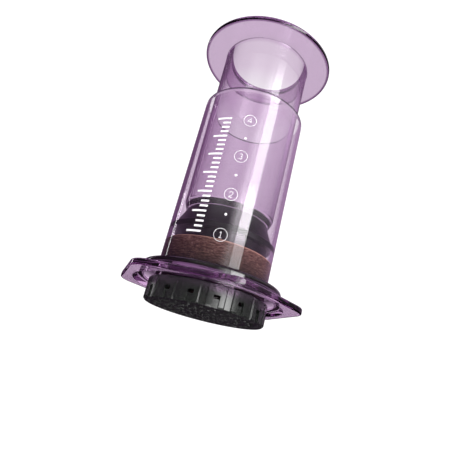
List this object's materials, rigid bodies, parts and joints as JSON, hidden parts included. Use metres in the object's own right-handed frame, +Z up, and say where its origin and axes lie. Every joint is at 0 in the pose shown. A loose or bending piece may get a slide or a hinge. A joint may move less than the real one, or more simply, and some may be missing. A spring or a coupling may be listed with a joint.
{
  "type": "piston coffee press",
  "caption": "Clear piston coffee press: chamber on a hexagonal flange, hollow plunger with a rubber seal, twist-off perforated filter cap, paper filter and pressed coffee.",
  "frame": {"origin": "centre of the filter cap's flat bottom face, on the press axis", "axes": "+Z up the press axis towards the plunger's grip flange, -Y towards the side of the chamber that carries the numerals"},
  "size_m": [0.1062, 0.1042, 0.1748],
  "materials": {
    "clear_plastic": "glossy, transparent, purple tint",
    "seal_rubber": "satin",
    "black_plastic": "fine vertical grain, satin",
    "filter_paper": "matte paper",
    "coffee": "wet ground coffee"
  },
  "bodies": {
    "chamber": {"chamber": "clear_plastic", "coffee_puck": "coffee"},
    "seal": {"plunger_seal": "seal_rubber"},
    "plunger": {"plunger_tube": "clear_plastic"},
    "cap": {"filter_cap": "black_plastic", "paper_filter": "filter_paper"}
  },
  "joints": [
    {"name": "plunger_slide", "type": "slide", "parent": "chamber", "child": "seal", "axis": [0, 0, 1], "range_m": [0, 0.1]},
    {"name": "plunger_spin", "type": "hinge", "parent": "seal", "child": "plunger", "pos_m": [0, 0, 0.0572], "axis": [0, 0, 1], "continuous": true},
    {"name": "cap_twist", "type": "hinge", "parent": "chamber", "child": "cap", "pos_m": [0, 0, 0], "axis": [0, 0, -1], "range_deg": [0, 11.25]}
  ]
}
